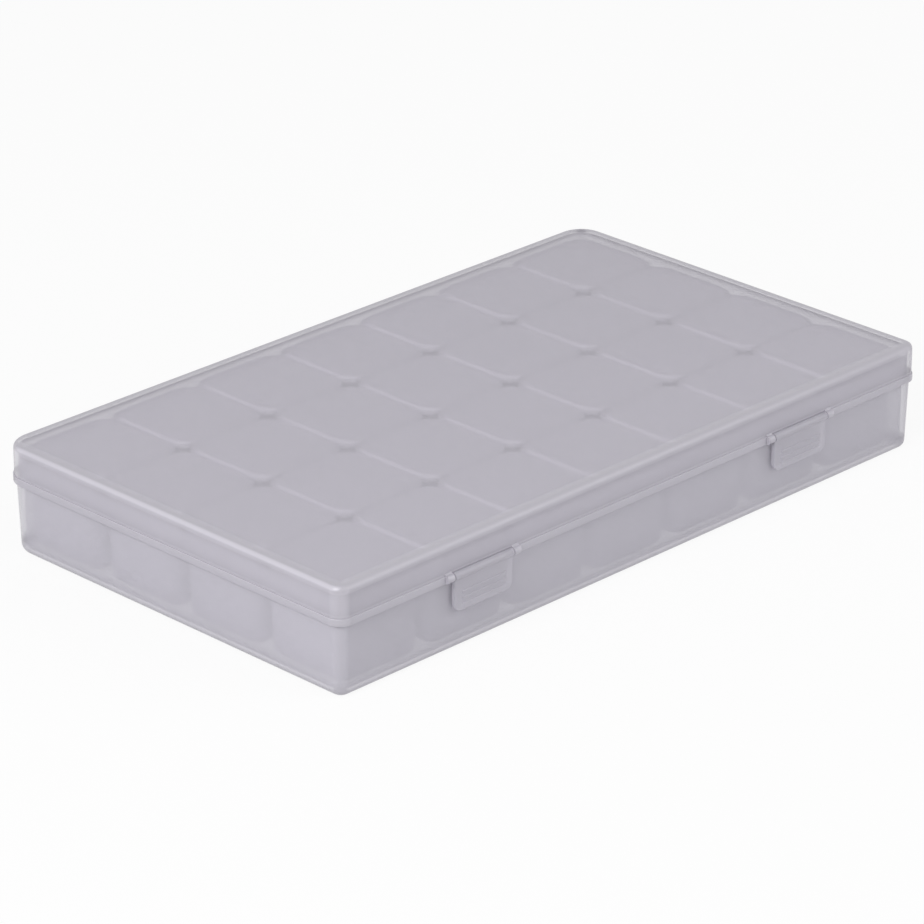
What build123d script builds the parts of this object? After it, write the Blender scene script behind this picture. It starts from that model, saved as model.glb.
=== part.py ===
from build123d import *
import os

# Bead organizer: a hinged outer case that holds a grid of small bead boxes,
# each with its own flip lid. Millimetres, +Z up, +X along the long side,
# latches on the -Y side and hinges on the +Y side. The origin is the centre
# of the underside.

# Grid of bead boxes
columns = 7
rows = 4
box_width = 23.9
box_gap = 0.3
end_gap_x = 0.7
end_gap_y = 0.25

# Outer case
overall_height = 24.6
skirt_depth = 8.5
lid_top_thickness = 1.0
lid_wall = 1.0
lid_clearance = 0.25
rim_wall = 0.8
rim_height_in_lid = 4.9
base_wall = 1.55
base_floor = 1.2
base_draft = 1.3
shoulder_gap = 0.3
front_corner = 3.0
rear_corner = 6.0
base_bottom_edge = 1.8
lid_top_edge = 1.6
bead_height = 1.6
bead_proud = 0.25

# Rear hinges of the outer lid
hinge_pin_radius = 0.9
hinge_bore_clearance = 0.06
hinge_barrel_radius = 1.7
hinge_rim_gap = 0.3
hinge_spacing = 110.0
knuckle_length = 10.0
ear_length = 3.0
hinge_side_gap = 0.3
ear_root_height = 3.6
knuckle_root_height = 2.6
root_sink = 0.4

# Front latches
latch_spacing = 96.0
latch_width = 16.5
latch_drop = 7.0
latch_thickness = 1.0
latch_base_gap = 0.3
latch_corner = 2.0
latch_barrel_radius = 0.9
latch_pin_radius = 0.45
latch_bore_clearance = 0.05
latch_pin_length = 1.0
latch_side_gap = 0.3
latch_pad_length = 1.8
latch_notch_gap = 0.35
latch_pad_rise = 1.8
rib_count = 3
rib_pitch = 1.4
rib_height = 0.4
rib_thickness = 0.6
rib_margin = 1.3
catch_height = 0.8
catch_clearance = 0.15
catch_below_rim = 5.0

# Bead boxes
flange_height = 1.0
flange_proud = 0.6
box_corner = 2.8
cup_wall = 0.8
cup_floor = 0.9
cup_draft = 1.5
cup_bottom_edge = 1.6

# Flip lids of the bead boxes
flip_thickness = 1.2
flip_rest_gap = 0.2
flip_headroom = 0.35
flip_side_inset = 0.2
flip_corner = 4.0
flip_corner_cut = 0.5858
flip_corner_trim = 0.2153
flip_hinge_inset = 1.0
flip_hinge_length = 14.0
flip_groove_clearance = 0.06
groove_sides = 8
flip_saddle_drop = 0.3
plug_depth = 0.8
plug_clearance = 0.3

# Worked out from the sizes above
pitch = box_width + box_gap
inside_length = columns * pitch - box_gap + 2 * end_gap_x
inside_width = rows * pitch - box_gap + 2 * end_gap_y
wall_stack = rim_wall + lid_clearance + lid_wall
lid_width = inside_width + 2 * wall_stack
rim_z = overall_height - skirt_depth
shoulder_z = rim_z - shoulder_gap
base_top = rim_z + rim_height_in_lid
flip_top = overall_height - lid_top_thickness - flip_headroom
box_top = flip_top - flip_thickness - flip_rest_gap
hinge_y = lid_width / 2 + bead_proud + hinge_rim_gap + hinge_barrel_radius
hinge_z = rim_z
base_front_y = -(inside_width / 2 + base_wall)
latch_inner_y = base_front_y - latch_base_gap
latch_y = latch_inner_y - latch_thickness / 2
latch_z = rim_z + latch_barrel_radius
flip_radius = flip_thickness / 2
flip_hinge_z = box_top + flip_rest_gap + flip_radius
latch_sides = {"left": -1, "right": 1}


def case_outline(grow):
    """Rounded rectangle that stands off the inside of the case by grow."""
    Rectangle(inside_length + 2 * grow, inside_width + 2 * grow)
    inset = wall_stack - grow
    fillet(vertices().sort_by(Axis.Y)[:2], front_corner - inset)
    fillet(vertices().sort_by(Axis.Y)[-2:], rear_corner - inset)


def box_centre(column, row):
    """Centre of a bead box; column 0 is at -X and row 0 is at -Y."""
    return (column - (columns - 1) / 2) * pitch, (row - (rows - 1) / 2) * pitch


def cut_square(inset):
    """Bead box outline, moved in by inset, with its corners cut off straight."""
    width = box_width - 2 * inset
    Rectangle(width, width)
    chamfer(vertices(), box_corner - (2 - 2**0.5) * inset)


def soften_corners(radius):
    """Rounds the corners of a sketch by three short flats that touch the arc."""
    chamfer(vertices(), flip_corner_cut * radius)
    chamfer(vertices(), flip_corner_trim * radius)


def make_outer_base():
    with BuildPart() as outer_base:
        with BuildSketch(Plane.XY.offset(shoulder_z)):
            case_outline(base_wall)
        extrude(amount=-shoulder_z, taper=base_draft)
        fillet(faces().sort_by(Axis.Z)[0].edges(), base_bottom_edge)
        with BuildSketch(Plane.XY.offset(shoulder_z)):
            case_outline(rim_wall)
        extrude(amount=base_top - shoulder_z)
        for side in (-1, 1):
            for end in (-1, 1):
                ear_centre = side * hinge_spacing / 2 + end * (
                    knuckle_length / 2 + hinge_side_gap + ear_length / 2
                )
                with BuildSketch(Plane.YZ.offset(ear_centre)):
                    with Locations((hinge_y, hinge_z)):
                        Circle(hinge_barrel_radius)
                    with BuildLine():
                        Polyline(
                            (inside_width / 2 + rim_wall + root_sink, shoulder_z - ear_root_height),
                            (hinge_y + hinge_barrel_radius, hinge_z),
                            (hinge_y, hinge_z),
                            (hinge_y, shoulder_z),
                            (inside_width / 2 + rim_wall + root_sink, shoulder_z),
                            close=True,
                        )
                    make_face()
                extrude(amount=ear_length / 2, both=True)
            with BuildSketch(Plane.YZ.offset(side * hinge_spacing / 2)):
                with Locations((hinge_y, hinge_z)):
                    Circle(hinge_pin_radius)
            extrude(amount=knuckle_length / 2 + hinge_side_gap + ear_length / 2, both=True)
        for side in latch_sides.values():
            catch_y = latch_inner_y + catch_clearance
            catch_z = rim_z - catch_below_rim
            with BuildSketch(Plane.YZ.offset(side * latch_spacing / 2)):
                with BuildLine():
                    Polyline(
                        (catch_y, catch_z - catch_height / 2),
                        (catch_y, catch_z),
                        (base_front_y + root_sink, catch_z + catch_height),
                        (base_front_y + root_sink, catch_z - catch_height),
                        close=True,
                    )
                make_face()
            extrude(amount=latch_width / 2 - latch_corner, both=True)
        with BuildSketch(Plane.XY.offset(base_floor)):
            case_outline(0)
        extrude(amount=base_top - base_floor, mode=Mode.SUBTRACT)
    return outer_base


def make_outer_lid():
    with BuildPart() as outer_lid:
        with BuildSketch(Plane.XY.offset(rim_z)):
            case_outline(wall_stack)
        extrude(amount=skirt_depth)
        fillet(faces().sort_by(Axis.Z)[-1].edges(), lid_top_edge)
        with BuildSketch(Plane.XY.offset(rim_z)):
            case_outline(wall_stack + bead_proud)
        extrude(amount=bead_height)
        for side in (-1, 1):
            with BuildSketch(Plane.YZ.offset(side * hinge_spacing / 2)):
                with Locations((hinge_y, hinge_z)):
                    Circle(hinge_barrel_radius)
                with BuildLine():
                    Polyline(
                        (lid_width / 2 - root_sink, hinge_z + knuckle_root_height + hinge_barrel_radius),
                        (hinge_y + hinge_barrel_radius, hinge_z),
                        (hinge_y, hinge_z),
                        (lid_width / 2 - root_sink, hinge_z),
                        close=True,
                    )
                make_face()
            extrude(amount=knuckle_length / 2, both=True)
        for side in latch_sides.values():
            reach = latch_width / 2 + latch_side_gap + latch_pad_length
            with BuildSketch(Plane.YZ.offset(side * latch_spacing / 2)):
                with Locations((latch_y, latch_z)):
                    Circle(latch_barrel_radius)
                with BuildLine():
                    Polyline(
                        (latch_y, latch_z - latch_barrel_radius),
                        (latch_y, latch_z + latch_barrel_radius),
                        (-lid_width / 2 + root_sink, latch_z + latch_pad_rise),
                        (-lid_width / 2 + root_sink, rim_z),
                        close=True,
                    )
                make_face()
            extrude(amount=reach, both=True)
        with BuildSketch(Plane.XY.offset(rim_z)):
            case_outline(rim_wall + lid_clearance)
        extrude(amount=skirt_depth - lid_top_thickness, mode=Mode.SUBTRACT)
        for side in (-1, 1):
            with BuildSketch(Plane.YZ.offset(side * hinge_spacing / 2)):
                with Locations((hinge_y, hinge_z)):
                    Circle(hinge_pin_radius + hinge_bore_clearance)
            extrude(amount=knuckle_length / 2, both=True, mode=Mode.SUBTRACT)
        for side in latch_sides.values():
            notch_half = latch_width / 2 + latch_side_gap
            notch_radius = latch_barrel_radius + latch_notch_gap
            with BuildSketch(Plane.YZ.offset(side * latch_spacing / 2)):
                with Locations((latch_y, latch_z)):
                    Rectangle(2 * (notch_radius + lid_wall), 2 * notch_radius)
            extrude(amount=notch_half, both=True, mode=Mode.SUBTRACT)
            with BuildSketch(Plane.YZ.offset(side * latch_spacing / 2)):
                with Locations((latch_y, latch_z)):
                    Circle(latch_pin_radius + latch_bore_clearance)
            extrude(amount=notch_half + latch_pin_length, both=True, mode=Mode.SUBTRACT)
    return outer_lid


def make_latch(side):
    """Flap that hangs from the rim of the outer lid, with finger ribs."""
    centre_x = side * latch_spacing / 2
    foot_z = rim_z - latch_drop
    with BuildPart() as latch:
        with BuildSketch(Plane.XZ.offset(-latch_inner_y)):
            with Locations((centre_x, (latch_z + foot_z) / 2)):
                Rectangle(latch_width, latch_z - foot_z)
            fillet(vertices().sort_by(Axis.Y)[:2], latch_corner)
        extrude(amount=latch_thickness)
        with BuildSketch(Plane.YZ.offset(centre_x)):
            with Locations((latch_y, latch_z)):
                Circle(latch_barrel_radius)
        extrude(amount=latch_width / 2, both=True)
        with BuildSketch(Plane.YZ.offset(centre_x)):
            with Locations((latch_y, latch_z)):
                Circle(latch_pin_radius)
        pin_reach = latch_width / 2 + latch_side_gap + latch_pin_length - latch_bore_clearance
        extrude(amount=pin_reach, both=True)
        with BuildSketch(Plane.XZ.offset(-latch_inner_y + latch_thickness)):
            with Locations((centre_x, foot_z + rib_margin + (rib_count - 1) * rib_pitch / 2)):
                with GridLocations(0, rib_pitch, 1, rib_count):
                    Rectangle(latch_width - 2 * latch_corner, rib_thickness)
        extrude(amount=rib_height)
    return latch


def make_bead_box(x, y):
    """Drafted cup with a flange, and a groove at the back for its flip lid."""
    hinge_line = y + box_width / 2 - flip_hinge_inset
    mouth = Plane((x, y, box_top))
    with BuildPart() as hollow:
        with BuildSketch(mouth):
            cut_square(flange_proud + cup_wall)
        extrude(amount=-(box_top - base_floor - cup_floor))
        draft(faces().filter_by(Axis.Z, reverse=True), mouth, -cup_draft)
    with BuildPart() as bead_box:
        with BuildSketch(mouth):
            cut_square(flange_proud)
        extrude(amount=-(box_top - base_floor))
        draft(faces().filter_by(Axis.Z, reverse=True), mouth, -cup_draft)
        chamfer(faces().sort_by(Axis.Z)[0].edges(), cup_bottom_edge)
        with BuildSketch(mouth):
            cut_square(0)
        extrude(amount=-flange_height)
        saddle_top = flip_hinge_z - flip_saddle_drop
        with BuildSketch(Plane((x, hinge_line + flip_hinge_inset / 2, box_top))):
            Rectangle(flip_hinge_length, flip_hinge_inset)
        extrude(amount=saddle_top - box_top)
        groove_radius = flip_radius + flip_groove_clearance
        with BuildSketch(Plane.YZ.offset(x)):
            with Locations((hinge_line, flip_hinge_z)):
                RegularPolygon(groove_radius, groove_sides, major_radius=False)
        extrude(amount=flip_hinge_length / 2, both=True, mode=Mode.SUBTRACT)
        add(hollow.part, mode=Mode.SUBTRACT)
    return bead_box


def make_bead_lid(x, y):
    """Flip lid: a rounded plate, a shallow plug below and a bead to turn on."""
    hinge_line = y + box_width / 2 - flip_hinge_inset
    front = y - box_width / 2 + flip_side_inset
    plate_z = box_top + flip_rest_gap
    with BuildPart() as bead_lid:
        with BuildSketch(Plane((x, (front + hinge_line) / 2, plate_z))):
            Rectangle(box_width - 2 * flip_side_inset, hinge_line - front)
            soften_corners(flip_corner)
        extrude(amount=flip_thickness)
        with BuildSketch(Plane.YZ.offset(x)):
            with Locations((hinge_line, flip_hinge_z)):
                Circle(flip_radius)
        extrude(amount=flip_hinge_length / 2, both=True)
        with BuildSketch(Plane((x, y, plate_z))):
            cut_square(flange_proud + cup_wall + plug_clearance)
        extrude(amount=-plug_depth)
    return bead_lid


def write_piece(builder, label):
    builder.part.label = label
    export_step(builder.part, f"parts/{label}.step")


os.makedirs("parts", exist_ok=True)
write_piece(make_outer_base(), "outer_base")
write_piece(make_outer_lid(), "outer_lid")
for side_name, direction in latch_sides.items():
    write_piece(make_latch(direction), f"latch_{side_name}")
for row in range(rows):
    for column in range(columns):
        cell = f"{'abcd'[row]}{column + 1}"
        cell_x, cell_y = box_centre(column, row)
        write_piece(make_bead_box(cell_x, cell_y), f"bead_box_{cell}")
        write_piece(make_bead_lid(cell_x, cell_y), f"bead_lid_{cell}")
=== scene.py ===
# %% [markdown]
# # A bead organizer with a lid on every box
# A flat case of frosted polypropylene holds 28 small bead boxes, each with its own flip lid.
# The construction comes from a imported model, whose nodes are already at their real place.
# This lesson dresses that model: it models every piece with the soft edges of a moulding, gives
# it a milky finish, and sets up the floor, the lights and the camera.

# %% Load the frame
import math

import bmesh
import bpy
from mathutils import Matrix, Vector


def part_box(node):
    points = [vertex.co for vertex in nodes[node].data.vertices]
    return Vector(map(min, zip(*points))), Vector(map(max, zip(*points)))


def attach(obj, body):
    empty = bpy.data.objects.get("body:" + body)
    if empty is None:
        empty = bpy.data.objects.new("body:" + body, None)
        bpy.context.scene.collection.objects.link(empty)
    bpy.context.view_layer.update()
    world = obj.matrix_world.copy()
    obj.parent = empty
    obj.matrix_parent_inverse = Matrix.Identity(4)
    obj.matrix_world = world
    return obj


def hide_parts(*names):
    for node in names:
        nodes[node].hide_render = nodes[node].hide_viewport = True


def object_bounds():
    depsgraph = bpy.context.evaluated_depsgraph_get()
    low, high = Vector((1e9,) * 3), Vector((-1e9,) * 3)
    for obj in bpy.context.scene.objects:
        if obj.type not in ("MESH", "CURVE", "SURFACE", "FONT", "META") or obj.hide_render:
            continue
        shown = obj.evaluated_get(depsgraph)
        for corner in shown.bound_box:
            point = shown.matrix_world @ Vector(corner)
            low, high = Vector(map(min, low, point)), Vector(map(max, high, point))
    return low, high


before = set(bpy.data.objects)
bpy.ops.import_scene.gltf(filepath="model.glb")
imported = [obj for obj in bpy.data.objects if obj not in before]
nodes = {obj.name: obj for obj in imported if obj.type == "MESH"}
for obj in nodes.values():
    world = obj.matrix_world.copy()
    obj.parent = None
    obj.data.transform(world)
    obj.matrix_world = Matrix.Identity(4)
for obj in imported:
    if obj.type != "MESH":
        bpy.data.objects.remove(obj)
frame_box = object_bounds()
MM = 0.001
print("nodes:", len(nodes), "case box:", [tuple(round(v / MM, 1) for v in c) for c in frame_box])

# %% [markdown]
# ## Shader maths as expressions
# A finish is easier to read as a formula than as a chain of nodes. One small class wraps a
# socket, so that `1 - mask * 0.2` adds the Math nodes it needs.

# %% A socket that can be added and multiplied
class Signal:
    """A node socket that takes part in Python expressions."""

    def __init__(self, tree, socket):
        self.tree = tree
        self.socket = socket

    def math(self, operation, first, second):
        node = self.tree.nodes.new("ShaderNodeMath")
        node.operation = operation
        for slot, value in zip(node.inputs, (first, second)):
            if isinstance(value, Signal):
                self.tree.links.new(value.socket, slot)
            else:
                slot.default_value = value
        return Signal(self.tree, node.outputs[0])

    def __add__(self, other):
        return self.math("ADD", self, other)

    def __sub__(self, other):
        return self.math("SUBTRACT", self, other)

    def __mul__(self, other):
        return self.math("MULTIPLY", self, other)

    def __rsub__(self, other):
        return self.math("SUBTRACT", other, self)

    __radd__ = __add__
    __rmul__ = __mul__


class Finish:
    """The node tree of a material or a world, with one method that adds any other node."""

    def __init__(self, owner):
        self.owner = owner
        owner.use_nodes = True
        self.tree = owner.node_tree

    def node(self, kind, settings=None, inputs=None, output=0):
        made = self.tree.nodes.new(kind)
        for key, value in (settings or {}).items():
            setattr(made, key, value)
        for key, value in (inputs or {}).items():
            if isinstance(value, Signal):
                self.tree.links.new(value.socket, made.inputs[key])
            else:
                made.inputs[key].default_value = value
        return Signal(self.tree, made.outputs[output])

    def existing(self, node_name, output=0):
        """The output of a node that the tree had from the start."""
        return Signal(self.tree, self.tree.nodes[node_name].outputs[output])

    def feed(self, node_name, socket_name, signal):
        self.tree.links.new(signal.socket, self.tree.nodes[node_name].inputs[socket_name])

    def put(self, node_name, **values):
        """Sets constants on a node's own sockets."""
        for socket_name, value in values.items():
            self.tree.nodes[node_name].inputs[socket_name.replace("_", " ")].default_value = value

    def seen_directly(self):
        """1 for rays that show the picture, and 0 for rays that only carry light."""
        seen = self.node("ShaderNodeLightPath", output="Is Camera Ray")
        for kind in ("Is Glossy Ray", "Is Transmission Ray"):
            other = self.node("ShaderNodeLightPath", output=kind)
            seen = seen.math("MAXIMUM", seen, other)
        return seen


# %% [markdown]
# ## Frosted polypropylene
# Moulded polypropylene is milky: light enters, scatters and leaves, and what stands behind shows
# as a soft shade. A true volume would be slow and noisy in walls one millimetre thick. So each
# skin of a wall lets a share through with Alpha, and the rest is a soft body colour. Along an
# edge the light crosses more plastic, so the case is dense there and clear only on its faces.
# Where the melt flowed the milkiness varies a little, and a fine grain dulls the gloss.

# %% Where the case is dense
# Each pair is the height or distance, in millimetres, where the density begins and is full.
END_RISE, SIDE_RISE = (84.3, 86.0), (47.5, 49.2)
TOP_RISE, FOOT_RISE, BEAD_RISE = (22.8, 24.2), (3.0, 1.0), (1.5, 0.8)
BEAD_MIDDLE, BEAD_SHARE, CORNER_SHARE = 16.9, 0.5, 0.6


def edge_density(finish, place):
    """1 along the case's edges and its rim bead, and 0 on its open faces."""
    x, y, z = (
        finish.node("ShaderNodeSeparateXYZ", inputs={"Vector": place}, output=axis) for axis in "XYZ"
    )

    def rise(value, start, end):
        return finish.node(
            "ShaderNodeMapRange",
            inputs={"Value": value, "From Min": start * MM, "From Max": end * MM},
            output="Result",
        )

    def size_of(value):
        return value.math("ABSOLUTE", value, 0.0)

    at_end = rise(size_of(x), *END_RISE)
    at_side = rise(size_of(y), *SIDE_RISE)
    at_bead = rise(size_of(z - BEAD_MIDDLE * MM), *BEAD_RISE)
    at_height = rise(z, *TOP_RISE) + rise(z, *FOOT_RISE) + at_bead * BEAD_SHARE
    density = at_end * at_side * CORNER_SHARE + (at_end + at_side) * at_height
    return density.math("MINIMUM", density, 1.0)


# %% [markdown]
# The colour is painted paler on the rounded edges that face the key lamp: a painted highlight
# that stands in for the light these edges catch. The lids show it most: the rounded edge on the
# brighter side is a pale line. The dot product of the surface's own normal with a direction
# towards the lamp's side finds that edge.

# %% Where the painted highlight falls
# A direction towards the key lamp's side, and how far along it a normal begins to get the painted
# highlight and gets it fully.
SMALL_PIECE_LIT_SIDE = ((-0.93, -0.25, 0.27), 0.35, 0.75)
CASE_LIT_SIDE = ((-0.75, -0.20, 0.63), 0.86, 0.96)


def painted_highlight_mask(finish, direction, start, full):
    """Mask of the painted highlight: 1 where the surface's own normal is along the direction, towards the
    key lamp, and 0 on the flat faces.
    """
    facing = finish.node("ShaderNodeTexCoord", output="Normal")
    toward = finish.node(
        "ShaderNodeVectorMath",
        settings={"operation": "DOT_PRODUCT"},
        inputs={0: facing, 1: direction},
        output="Value",
    )
    return finish.node(
        "ShaderNodeMapRange",
        inputs={"Value": toward, "From Min": start, "From Max": full},
        output="Result",
    )


# %% The plastic, in one function
FLOW_SCALE, GRAIN_SCALE = 22.0, 2600.0
FLOW_TINT, FLOW_ALPHA, GRAIN_ROUGHNESS = 0.04, 0.06, 0.12
DENSE_DARKENING, POLYPROPYLENE_IOR = 0.34, 1.49


def frosted_plastic(name, colour, see_through, roughness, dense_edges=False, painted_highlight_strength=0.0):
    finish = Finish(bpy.data.materials.new(name))
    place = finish.node("ShaderNodeTexCoord", output="Object")
    density = edge_density(finish, place) if dense_edges else 0
    flow = finish.node(
        "ShaderNodeTexNoise", inputs={"Vector": place, "Scale": FLOW_SCALE, "Detail": 3.0}
    )
    grain = finish.node(
        "ShaderNodeTexNoise", inputs={"Vector": place, "Scale": GRAIN_SCALE, "Detail": 2.0}
    )
    shade = (flow * FLOW_TINT + (1 - FLOW_TINT / 2)) * (1 - density * DENSE_DARKENING)
    # Painted highlight: the colour is made paler on the rounded edges that face the key lamp.
    if painted_highlight_strength:
        edge = CASE_LIT_SIDE if dense_edges else SMALL_PIECE_LIT_SIDE
        shade = shade * (painted_highlight_mask(finish, *edge) * painted_highlight_strength + 1)
    tint = finish.node(
        "ShaderNodeVectorMath", settings={"operation": "SCALE"}, inputs={0: colour, "Scale": shade}
    )
    finish.feed("Principled BSDF", "Base Color", tint)
    dullness = grain * GRAIN_ROUGHNESS + (roughness - GRAIN_ROUGHNESS / 2)
    finish.feed("Principled BSDF", "Roughness", dullness)
    milkiness = (1 + FLOW_ALPHA / 2 - flow * FLOW_ALPHA) - (1 - density) * see_through
    finish.feed("Principled BSDF", "Alpha", milkiness)
    bump = finish.node(
        "ShaderNodeBump", inputs={"Strength": 0.08, "Distance": 0.02 * MM, "Height": grain}
    )
    finish.feed("Principled BSDF", "Normal", bump)
    finish.put("Principled BSDF", IOR=POLYPROPYLENE_IOR)
    print("finish:", name, "see-through", see_through)
    return finish.owner


# The last number of each finish sets the strength of its painted highlight on the edges that face the key
# lamp.
case_plastic = frosted_plastic(
    "case_plastic", (0.71, 0.685, 0.76), 0.58, 0.30, dense_edges=True, painted_highlight_strength=0.26
)
tray_plastic = frosted_plastic(
    "tray_plastic", (0.66, 0.64, 0.71), 0.48, 0.30, dense_edges=True, painted_highlight_strength=0.1
)
latch_plastic = frosted_plastic("latch_plastic", (0.60, 0.58, 0.645), 0.45, 0.32)
box_plastic = frosted_plastic("box_plastic", (0.62, 0.60, 0.66), 0.18, 0.36, painted_highlight_strength=0.5)
flip_plastic = frosted_plastic("flip_plastic", (0.58, 0.56, 0.615), 0.08, 0.24, painted_highlight_strength=0.7)

# %% [markdown]
# ## Working by hand
# The pieces below are modelled as by hand: a primitive is added at its size, its edges and faces
# are picked by their place, and the edit operators shape them. These helpers keep each step
# short.

# %% Helpers for adding, picking and rounding
NEAR = 0.001 * MM


def only(piece):
    bpy.ops.object.select_all(action="DESELECT")
    piece.select_set(True)
    bpy.context.view_layer.objects.active = piece


def block(name, low, high):
    """A cube between two corners in millimetres, with its place in its mesh."""
    low, high = Vector(low) * MM, Vector(high) * MM
    bpy.ops.object.select_all(action="DESELECT")
    bpy.ops.mesh.primitive_cube_add(size=1.0, location=(low + high) / 2)
    made = bpy.context.object
    made.name = name
    made.scale = high - low
    bpy.ops.object.transform_apply(location=True, rotation=True, scale=True)
    return made


def rod(name, radius, x_from, x_to, y, z, sides=32):
    """A cylinder along X, in millimetres."""
    bpy.ops.object.select_all(action="DESELECT")
    bpy.ops.mesh.primitive_cylinder_add(
        vertices=sides,
        radius=radius * MM,
        depth=(x_to - x_from) * MM,
        location=((x_from + x_to) / 2 * MM, y * MM, z * MM),
        rotation=(0, math.pi / 2, 0),
    )
    made = bpy.context.object
    made.name = name
    bpy.ops.object.transform_apply(location=True, rotation=True, scale=True)
    return made


def edit(piece):
    only(piece)
    bpy.ops.object.mode_set(mode="EDIT")


def done():
    bpy.ops.object.mode_set(mode="OBJECT")


def pick(piece, kind, wanted):
    """Selects the edges or faces that pass the test. The piece is in edit mode."""
    bpy.ops.mesh.select_mode(type=kind)
    bpy.ops.mesh.select_all(action="DESELECT")
    mesh = bmesh.from_edit_mesh(piece.data)
    mesh.normal_update()
    for item in mesh.edges if kind == "EDGE" else mesh.faces:
        if wanted(item):
            item.select_set(True)
    bmesh.update_edit_mesh(piece.data)


def at_level(height):
    return lambda item: all(abs(v.co.z - height * MM) < NEAR for v in item.verts)


def upright(edge):
    first, second = edge.verts
    return abs(first.co.z - second.co.z) > NEAR


def upright_front(edge):
    return upright(edge) and edge.verts[0].co.y < 0


def upright_rear(edge):
    return upright(edge) and edge.verts[0].co.y > 0


def round_edges(piece, wanted, radius, segments):
    pick(piece, "EDGE", wanted)
    bpy.ops.mesh.bevel(offset=radius * MM, segments=segments, affect="EDGES", clamp_overlap=True)


def pull(x=0.0, y=0.0, z=0.0):
    bpy.ops.transform.translate(value=(x * MM, y * MM, z * MM))


# %% Helpers for joining and finishing
def apply_modifier(piece, kind, **settings):
    only(piece)
    modifier = piece.modifiers.new(kind.title(), kind)
    for key, value in settings.items():
        setattr(modifier, key, value)
    bpy.ops.object.modifier_apply(modifier=modifier.name)


def combine(piece, *others, operation="UNION"):
    for other in others:
        apply_modifier(piece, "BOOLEAN", object=other, operation=operation, solver="EXACT")
        bpy.data.objects.remove(other)
    return piece


def join(main, *others):
    bpy.ops.object.select_all(action="DESELECT")
    for piece in (main, *others):
        piece.select_set(True)
    bpy.context.view_layer.objects.active = main
    bpy.ops.object.join()
    return main


def smooth(piece, angle=35):
    only(piece)
    bpy.ops.object.shade_smooth_by_angle(angle=math.radians(angle))


def dress(piece, node_name, body, material):
    """Gives a finished piece its material, hides the node that it stands in front of, and attaches it to
    the body that it moves with.
    """
    piece.data.materials.clear()
    piece.data.materials.append(material)
    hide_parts(node_name)
    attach(piece, body)


# %% [markdown]
# ## Sizes of the case
# The outlines of the lid, the tray and the tray's rim are rectangles around the same grid of
# boxes, each a wall or a clearance wider than the next. All are in millimetres.

# %% The sizes that several pieces share
INSIDE_X, INSIDE_Y = 170.5 / 2, 97.0 / 2
LID_WALL, RIM_WALL, BASE_WALL, WALL_STACK = 1.0, 0.8, 1.55, 2.05
LID_X, LID_Y = INSIDE_X + WALL_STACK, INSIDE_Y + WALL_STACK
FRONT_CORNER, REAR_CORNER = 3.0, 6.0
LID_TOP, RIM, SHOULDER, RIM_TOP, FLOOR_TOP = 24.6, 16.1, 15.8, 21.0, 1.2
BEAD_TOP, BEAD_PROUD, LID_PLATE = 17.7, 0.25, 1.0
HINGE_Y, HINGE_Z, BARREL, PIN, BORE = 52.8, 16.1, 1.7, 0.9, 0.96
HINGES, KNUCKLE, EAR, SIDE_GAP = (-55.0, 55.0), 5.0, 3.0, 0.3
LATCH_Y, LATCH_Z, LATCH_BARREL = -50.85, 17.0, 0.9
LATCHES, LATCH_HALF, LATCH_FOOT = (-48.0, 48.0), 8.25, 9.1
# A joined piece starts a little inside the wall that it stands on, so that the two become one.
IN_LID_WALL, IN_RIM_WALL = 50.2, 49.7


def rounded_block(name, half_x, half_y, low, high, front, rear):
    """A block with the case's four upright corners rounded."""
    made = block(name, (-half_x, -half_y, low), (half_x, half_y, high))
    edit(made)
    round_edges(made, upright_front, front, 7)
    round_edges(made, upright_rear, rear, 10)
    return made


# %% [markdown]
# ## The outer lid
# The lid is a shallow hood with a softly rounded top edge. A bead runs round its lower rim and
# stiffens it. A hood could be made with Solidify, but then the bead would show inside as well.
# So the body is shaped first, the band of faces at the rim is pushed outwards, and the underside
# is inset and pushed up, which leaves straight inner walls.

# %% The hood with its rim bead
LID_ROUNDING, BEAD_ROUNDING = 1.2, 0.12

hood = rounded_block("case_lid", LID_X, LID_Y, RIM, LID_TOP, FRONT_CORNER, REAR_CORNER)
round_edges(hood, at_level(LID_TOP), LID_ROUNDING, 6)
bpy.ops.mesh.select_all(action="SELECT")
bpy.ops.mesh.bisect(plane_co=(0, 0, BEAD_TOP * MM), plane_no=(0, 0, 1))
pick(hood, "FACE", lambda f: abs(f.normal.z) < 0.1 and f.calc_center_median().z < BEAD_TOP * MM)
bpy.ops.mesh.extrude_region_shrink_fatten(TRANSFORM_OT_shrink_fatten={"value": BEAD_PROUD * MM})


def outside_lid(edge):
    return all(
        abs(v.co.x) > LID_X * MM + NEAR
        or abs(v.co.y) > LID_Y * MM + NEAR
        or (abs(v.co.x) > (LID_X - REAR_CORNER) * MM and abs(v.co.y) > (LID_Y - REAR_CORNER) * MM)
        for v in edge.verts
    )


def bead_edge(edge):
    level = at_level(BEAD_TOP)(edge) or at_level(RIM)(edge)
    return level and edge.is_manifold and edge.calc_face_angle_signed(0) > 1.0 and outside_lid(edge)


round_edges(hood, bead_edge, BEAD_ROUNDING, 3)
pick(hood, "FACE", lambda f: f.normal.z < -0.99 and at_level(RIM)(f))
bpy.ops.mesh.dissolve_faces()
bpy.ops.mesh.inset(thickness=(LID_WALL + BEAD_PROUD - BEAD_ROUNDING) * MM, use_even_offset=True)
bpy.ops.mesh.extrude_region_move()
pull(z=LID_TOP - LID_PLATE - RIM)
done()
print("hood faces:", len(hood.data.polygons))

# %% [markdown]
# ## Knuckles, pads and notches
# At the back two knuckles reach down to the hinge pins. Their roots are blocks whose outer upper
# edge is pulled down to a slope, as a mould needs. At the front each latch turns between two
# pads, in a notch cut out of the bead. Booleans do this well, because the pieces stay solids.

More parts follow.
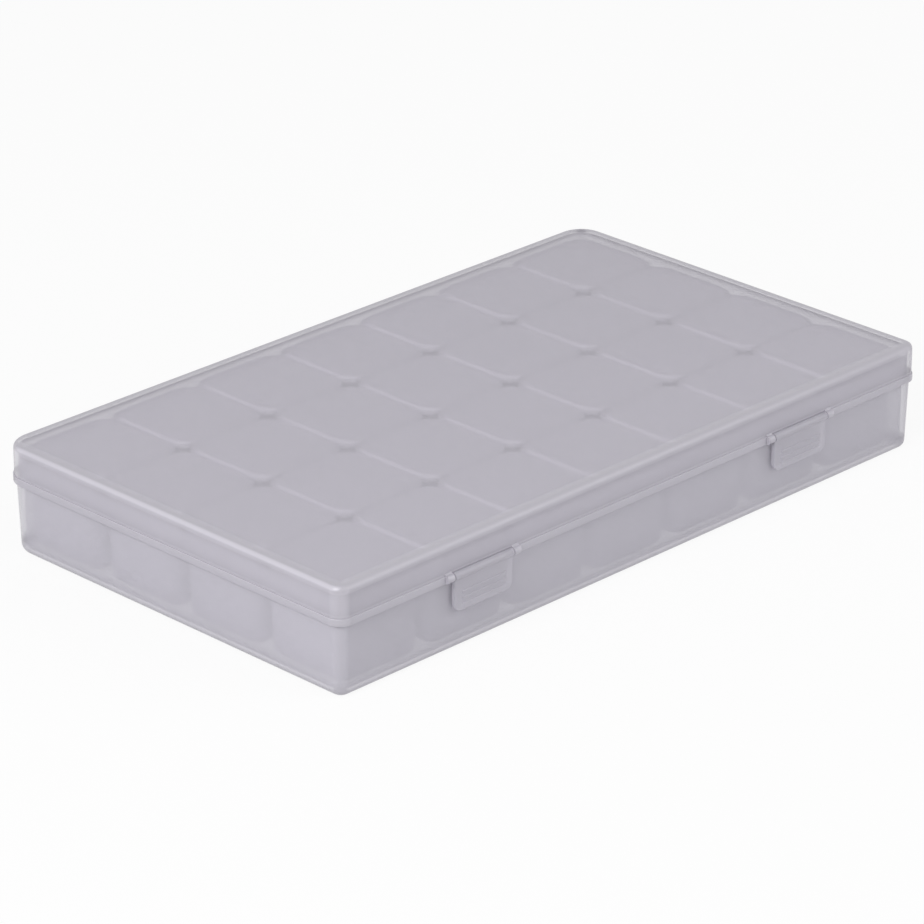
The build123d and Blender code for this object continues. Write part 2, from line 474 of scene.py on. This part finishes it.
# %% A block with a slope
def sloped_block(name, low, high, moved_edge, rise):
    """A block whose edge along X at the place (y, z) is pulled up, or down if rise is negative."""
    made = block(name, low, high)
    edit(made)
    y, z = moved_edge
    pick(
        made,
        "EDGE",
        lambda e: all(abs(v.co.y - y * MM) < NEAR and abs(v.co.z - z * MM) < NEAR for v in e.verts),
    )
    pull(z=rise)
    done()
    return made


# %% Add the knuckles
KNUCKLE_TOP, KNUCKLE_SLOPE = 20.4, 4.2
HINGE_BACK = HINGE_Y + BARREL

for x in HINGES:
    root = sloped_block(
        "root",
        (x - KNUCKLE, IN_LID_WALL, HINGE_Z),
        (x + KNUCKLE, HINGE_BACK, KNUCKLE_TOP),
        moved_edge=(HINGE_BACK, KNUCKLE_TOP),
        rise=-KNUCKLE_SLOPE,
    )
    combine(hood, root, rod("barrel", BARREL, x - KNUCKLE, x + KNUCKLE, HINGE_Y, HINGE_Z))
    bore = rod("bore", BORE, x - KNUCKLE - 1, x + KNUCKLE + 1, HINGE_Y, HINGE_Z)
    combine(hood, bore, operation="DIFFERENCE")

# %% Add the latch pads and cut the notches
PAD_LENGTH, PAD_RISE, LATCH_PIN_HOLE = 1.8, 0.9, 0.5
NOTCH_FRONT, NOTCH_BACK, NOTCH_BELOW, NOTCH_ABOVE = 2.2, 1.0, 1.15, 0.94
LATCH_ROOM = LATCH_HALF + SIDE_GAP

for x in LATCHES:
    reach, top = LATCH_ROOM + PAD_LENGTH, LATCH_Z + LATCH_BARREL
    for left, right in ((x - reach, x - LATCH_ROOM), (x + LATCH_ROOM, x + reach)):
        pad = sloped_block(
            "pad",
            (left, LATCH_Y, RIM),
            (right, -IN_LID_WALL, top),
            moved_edge=(-IN_LID_WALL, top),
            rise=PAD_RISE,
        )
        combine(hood, pad, rod("pad_round", LATCH_BARREL, left, right, LATCH_Y, LATCH_Z))
    notch = block(
        "notch",
        (x - LATCH_ROOM, LATCH_Y - NOTCH_FRONT, LATCH_Z - NOTCH_BELOW),
        (x + LATCH_ROOM, LATCH_Y + NOTCH_BACK, LATCH_Z + NOTCH_ABOVE),
    )
    combine(hood, notch, operation="DIFFERENCE")
    hole_reach = LATCH_ROOM + 1
    pin_hole = rod("pin_hole", LATCH_PIN_HOLE, x - hole_reach, x + hole_reach, LATCH_Y, LATCH_Z, sides=16)
    combine(hood, pin_hole, operation="DIFFERENCE")
smooth(hood)
dress(hood, "outer_lid", "outer_lid", case_plastic)
print("outer lid faces:", len(hood.data.polygons))

# %% [markdown]
# ## The tray
# The tray tapers a little towards its well rounded underside. Its rim is thinner and stands
# inside the lid. The whole cup comes from one block: the top face is inset and raised to the
# rim, inset again and pushed down to the floor.

# %% The tray, its rim and its floor
BASE_X, BASE_Y, DRAFT_IN = INSIDE_X + BASE_WALL, INSIDE_Y + BASE_WALL, 0.36
FOOT_ROUNDING, RIM_ROUNDING = 1.8, 0.2
corner_in = WALL_STACK - BASE_WALL
tray = rounded_block(
    "case_tray", BASE_X, BASE_Y, 0.0, SHOULDER, FRONT_CORNER - corner_in, REAR_CORNER - corner_in
)
pick(tray, "FACE", at_level(0.0))
bpy.ops.transform.resize(value=(1 - DRAFT_IN / BASE_X, 1 - DRAFT_IN / BASE_Y, 1))
round_edges(tray, at_level(0.0), FOOT_ROUNDING, 7)
pick(tray, "FACE", at_level(SHOULDER))
bpy.ops.mesh.inset(thickness=(BASE_WALL - RIM_WALL) * MM, use_even_offset=True)
bpy.ops.mesh.extrude_region_move()
pull(z=RIM_TOP - SHOULDER)
bpy.ops.mesh.inset(thickness=RIM_WALL * MM, use_even_offset=True)
bpy.ops.mesh.extrude_region_move()
pull(z=FLOOR_TOP - RIM_TOP)
round_edges(tray, at_level(RIM_TOP), RIM_ROUNDING, 2)
done()

# %% Add the hinge ears, the pins and the catches
EAR_FOOT, EAR_SLOPE = 12.2, 3.5
CATCH_HALF, CATCH_FRONT, CATCH_BACK = 6.25, -50.2, -49.65
CATCH_FOOT, CATCH_TOP, CATCH_SLOPE = 10.7, 11.5, 0.4

for x in HINGES:
    ends = KNUCKLE + SIDE_GAP + EAR / 2
    for middle in (x - ends, x + ends):
        left, right = middle - EAR / 2, middle + EAR / 2
        root = sloped_block(
            "ear_root",
            (left, IN_RIM_WALL, EAR_FOOT),
            (right, HINGE_BACK, SHOULDER),
            moved_edge=(HINGE_BACK, EAR_FOOT),
            rise=EAR_SLOPE,
        )
        combine(tray, root, rod("ear", BARREL, left, right, HINGE_Y, HINGE_Z))
    combine(tray, rod("hinge_pin", PIN, x - ends, x + ends, HINGE_Y, HINGE_Z))
for x in LATCHES:
    catch = sloped_block(
        "catch",
        (x - CATCH_HALF, CATCH_FRONT, CATCH_FOOT),
        (x + CATCH_HALF, CATCH_BACK, CATCH_TOP),
        moved_edge=(CATCH_FRONT, CATCH_TOP),
        rise=-CATCH_SLOPE,
    )
    combine(tray, catch)
smooth(tray)
dress(tray, "outer_base", "case", tray_plastic)
print("tray faces:", len(tray.data.polygons))

# %% [markdown]
# ## The latches
# Each latch is a thin flap with a barrel along its top and three finger ribs near its foot. The
# ribs are low and round, and the lower corners of the flap are rounded, so that a nail finds it
# but a sleeve doesn't catch.

# %% One latch for each side
FLAP_FRONT, FLAP_BACK, FLAP_ROUNDING, LATCH_CORNER, LATCH_PIN = -51.25, -50.35, 0.25, 2.0, 0.45
RIBS, RIB_HALF, RIB_FRONT, RIB_BACK, RIB_ROUNDING = 3, 6.25, -51.42, -51.1, 0.16
RIB_MARGIN, RIB_PITCH, RIB_HALF_HEIGHT = 1.3, 1.4, 0.35


def in_front_of(y):
    return lambda edge: all(v.co.y < (y + 0.01) * MM for v in edge.verts)


def across(edge):
    first, second = edge.verts
    return abs(first.co.y - second.co.y) > NEAR and first.co.z < LATCH_Z * MM - NEAR


def make_latch(x, name, node_name):
    flap = block(name, (x - LATCH_HALF, FLAP_FRONT, LATCH_FOOT), (x + LATCH_HALF, FLAP_BACK, LATCH_Z))
    edit(flap)
    round_edges(flap, across, LATCH_CORNER, 7)
    round_edges(flap, in_front_of(FLAP_FRONT), FLAP_ROUNDING, 3)
    done()
    combine(flap, rod("barrel", LATCH_BARREL, x - LATCH_HALF, x + LATCH_HALF, LATCH_Y, LATCH_Z))
    pin_reach = LATCH_HALF + SIDE_GAP + 0.95
    combine(flap, rod("pins", LATCH_PIN, x - pin_reach, x + pin_reach, LATCH_Y, LATCH_Z, sides=16))
    for rib in range(RIBS):
        z = LATCH_FOOT + RIB_MARGIN + RIB_PITCH * rib
        ridge = block(
            "rib",
            (x - RIB_HALF, RIB_FRONT, z - RIB_HALF_HEIGHT),
            (x + RIB_HALF, RIB_BACK, z + RIB_HALF_HEIGHT),
        )
        edit(ridge)
        round_edges(ridge, in_front_of(RIB_FRONT), RIB_ROUNDING, 4)
        done()
        combine(flap, ridge)
    smooth(flap)
    dress(flap, node_name, node_name, latch_plastic)
    return flap


for x, side in zip(LATCHES, ("left", "right")):
    made = make_latch(x, f"latch_flap_{side}", f"latch_{side}")
    print(made.name, "faces:", len(made.data.polygons))

# %% [markdown]
# ## A flip lid
# Each small lid is a plate of 1.2 mm with rounded corners. What the eye reads through the case
# is not the plate but its rim, where a soft edge catches the light and the rounded corners leave
# a dark star between four lids. So the corners and the top edge are bevelled, and a bead along
# the back and a shallow plug below are joined on.

# %% Model one flip lid
CELLS = [f"{row}{column}" for row in "abcd" for column in range(1, 8)]
FLIP_BEAD, FLIP_BEAD_LENGTH, PLUG_DEPTH, HALF_PLUG = 0.6, 14.0, 0.8, 10.25
FLIP_CORNER, FLIP_ROUNDING, FLIP_UNDER_ROUNDING = 4.0, 0.85, 0.12
PLUG_CORNER, PLUG_ROUNDING, PLUG_SINK = 2.2, 0.25, 0.1
lid_low, lid_high = (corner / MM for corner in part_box("bead_lid_a1"))
box_low, box_high = (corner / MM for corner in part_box("bead_box_a1"))
box_middle = (box_low + box_high) / 2
hinge_line = lid_high.y - FLIP_BEAD
plate_under = lid_low.z + PLUG_DEPTH

flip_lid = block("flip_lid", (lid_low.x, lid_low.y, plate_under), (lid_high.x, hinge_line, lid_high.z))
edit(flip_lid)
round_edges(flip_lid, upright, FLIP_CORNER, 9)
round_edges(flip_lid, at_level(lid_high.z), FLIP_ROUNDING, 6)
round_edges(flip_lid, at_level(plate_under), FLIP_UNDER_ROUNDING, 1)
done()
turning_bead = rod(
    "turning_bead",
    FLIP_BEAD,
    box_middle.x - FLIP_BEAD_LENGTH / 2,
    box_middle.x + FLIP_BEAD_LENGTH / 2,
    hinge_line,
    lid_high.z - FLIP_BEAD,
    sides=20,
)
plug = block(
    "plug",
    (box_middle.x - HALF_PLUG, box_middle.y - HALF_PLUG, lid_low.z),
    (box_middle.x + HALF_PLUG, box_middle.y + HALF_PLUG, plate_under + PLUG_SINK),
)
edit(plug)
round_edges(plug, upright, PLUG_CORNER, 4)
round_edges(plug, at_level(lid_low.z), PLUG_ROUNDING, 2)
done()
combine(flip_lid, turning_bead, plug)
smooth(flip_lid)
print("flip lid faces:", len(flip_lid.data.polygons))

# %% [markdown]
# ## A bead box
# The cup narrows towards its floor so that it leaves the mould, and its floor edge is well
# rounded so that beads can be tipped out. It is modelled as a skin: the open top is pulled
# outwards into a flange, and Solidify then gives the wall its thickness.

# %% Model one bead box
FLANGE, CUP_WALL, CUP_DRAFT_IN, CUP_UNDER_LID = 0.6, 0.8, 0.53, 1.4
CUP_CORNER, CUP_FOOT_ROUNDING, CUP_EDGE_WIDTH = 3.2, 1.6, 0.15
LIP_GAP, LIP_SINK = 0.08, 0.2
cup_top = lid_high.z - CUP_UNDER_LID
bead_cup = block(
    "bead_cup",
    (box_low.x + FLANGE, box_low.y + FLANGE, box_low.z),
    (box_high.x - FLANGE, box_high.y - FLANGE, cup_top),
)
edit(bead_cup)
pick(bead_cup, "FACE", at_level(box_low.z))
half_cup = (box_high.x - box_low.x) / 2 - FLANGE
floor_shrink = 1 - CUP_DRAFT_IN / half_cup
bpy.ops.transform.resize(value=(floor_shrink, floor_shrink, 1))
round_edges(bead_cup, upright, CUP_CORNER, 7)
round_edges(bead_cup, at_level(box_low.z), CUP_FOOT_ROUNDING, 4)
pick(bead_cup, "FACE", at_level(cup_top))
bpy.ops.mesh.delete(type="FACE")
pick(bead_cup, "EDGE", at_level(cup_top))
bpy.ops.mesh.extrude_edges_move()
flange_growth = 1 + FLANGE / half_cup
bpy.ops.transform.resize(value=(flange_growth, flange_growth, 1))
done()
apply_modifier(bead_cup, "SOLIDIFY", thickness=CUP_WALL * MM, offset=-1.0, use_even_offset=True)
apply_modifier(
    bead_cup,
    "BEVEL",
    width=CUP_EDGE_WIDTH * MM,
    segments=2,
    limit_method="ANGLE",
    angle_limit=math.radians(50),
)
lip = block(
    "lip",
    (box_middle.x - FLIP_BEAD_LENGTH / 2, hinge_line + FLIP_BEAD + LIP_GAP, cup_top - LIP_SINK),
    (box_middle.x + FLIP_BEAD_LENGTH / 2, box_high.y, box_high.z),
)
bead_cup = join(bead_cup, lip)
smooth(bead_cup)
print("bead cup faces:", len(bead_cup.data.polygons))

# %% [markdown]
# ## Twenty-eight of each
# What repeats is modelled once and copied. Each copy has its own mesh, moved inside the mesh so
# that its object stays at the origin, and rides on the body of the node that it stands for.

# %% Copy the pieces over the grid
def place_copy(model, name, node_name, from_node, body, material):
    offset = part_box(node_name)[0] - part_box(from_node)[0]
    piece = model.copy()
    piece.data = model.data.copy()
    piece.name = name
    bpy.context.collection.objects.link(piece)
    for vertex in piece.data.vertices:
        vertex.co += offset
    dress(piece, node_name, body, material)


for cell in CELLS:
    box_node, lid_node = f"bead_box_{cell}", f"bead_lid_{cell}"
    place_copy(bead_cup, f"cup_{cell}", box_node, "bead_box_a1", "case", box_plastic)
    place_copy(flip_lid, f"flip_{cell}", lid_node, "bead_lid_a1", lid_node, flip_plastic)
for model in (bead_cup, flip_lid):
    bpy.data.objects.remove(model)
print("cups and flip lids:", 2 * len(CELLS))

# %% [markdown]
# ## Finishes on the construction
# Every node of the construction has a piece in front of it now, but each still gets the finish of
# its slot, so that nothing plain shows if a piece is taken away.

# %% Put each finish on its nodes
def finish_for(name):
    if name.startswith("bead_box"):
        return box_plastic
    if name.startswith("bead_lid"):
        return flip_plastic
    if name.startswith("latch"):
        return latch_plastic
    if name == "outer_base":
        return tray_plastic
    return case_plastic


for name, node in nodes.items():
    node.data.materials.clear()
    node.data.materials.append(finish_for(name))
print("finished nodes:", len(nodes))

# %% [markdown]
# ## Floor and light
# The case is pale, so the light is broad and plain: one large lamp above and to the left, a
# weaker one to the right, and an even world. For rays that show the picture, the floor is mostly
# white and keeps a share of its real shading, so that the case still stands on its shadow.

# %% Floor
FLOOR_WHITENESS = 0.9

bpy.ops.object.select_all(action="DESELECT")
bpy.ops.mesh.primitive_plane_add(size=6.0, location=(0, 0, frame_box[0].z))
floor = bpy.context.object
floor.name = "floor"
floor_finish = Finish(bpy.data.materials.new("floor_white"))
floor_finish.put("Principled BSDF", Base_Color=(0.9, 0.9, 0.9, 1), Roughness=0.9)
floor_mix = floor_finish.node(
    "ShaderNodeMixShader",
    inputs={
        0: floor_finish.seen_directly() * FLOOR_WHITENESS,
        1: floor_finish.existing("Principled BSDF"),
        2: floor_finish.node("ShaderNodeEmission"),
    },
)
floor_finish.feed("Material Output", "Surface", floor_mix)
floor.data.materials.append(floor_finish.owner)
print("floor at", round(floor.location.z / MM, 2), "mm")

# %% World and lamps
WORLD_LIGHT = 0.455
bpy.context.scene.world = bpy.data.worlds.new("studio")
studio = Finish(bpy.context.scene.world)
studio.put("Background", Color=(1, 1, 1, 1))
studio.feed("Background", "Strength", studio.seen_directly() * (1 - WORLD_LIGHT) + WORLD_LIGHT)


def soft_lamp(name, place, size, power):
    data = bpy.data.lights.new(name, "AREA")
    data.shape = "SQUARE"
    data.size = size
    data.energy = power
    lamp = bpy.data.objects.new(name, data)
    bpy.context.collection.objects.link(lamp)
    lamp.location = place
    lamp.rotation_mode = "QUATERNION"
    lamp.rotation_quaternion = (-Vector(place)).to_track_quat("-Z", "Y")
    return lamp


soft_lamp("key_lamp", (-0.83, -0.18, 0.62), 0.5, 5.5)
soft_lamp("fill_lamp", (0.5, -0.8, 0.5), 0.8, 3.5)

# %% [markdown]
# ## Camera
# A long lens from a metre away keeps the sides of the flat case nearly parallel.

# %% Camera
CAMERA_DISTANCE = 1.0055
azimuth, elevation = math.radians(-45.23), math.radians(24.19)
aim = Vector((-7.62, -5.0, 12.0)) * MM
back = Vector(
    (
        math.sin(azimuth) * math.cos(elevation),
        -math.cos(azimuth) * math.cos(elevation),
        math.sin(elevation),
    )
)
camera_data = bpy.data.cameras.new("camera")
camera_data.sensor_width = 36.0
camera_data.lens = 185.06
camera = bpy.data.objects.new("camera", camera_data)
bpy.context.collection.objects.link(camera)
camera.location = aim + back * CAMERA_DISTANCE
camera.rotation_mode = "QUATERNION"
camera.rotation_quaternion = (-back).to_track_quat("-Z", "Y")
bpy.context.scene.camera = camera
bpy.context.scene.view_settings.view_transform = "Standard"
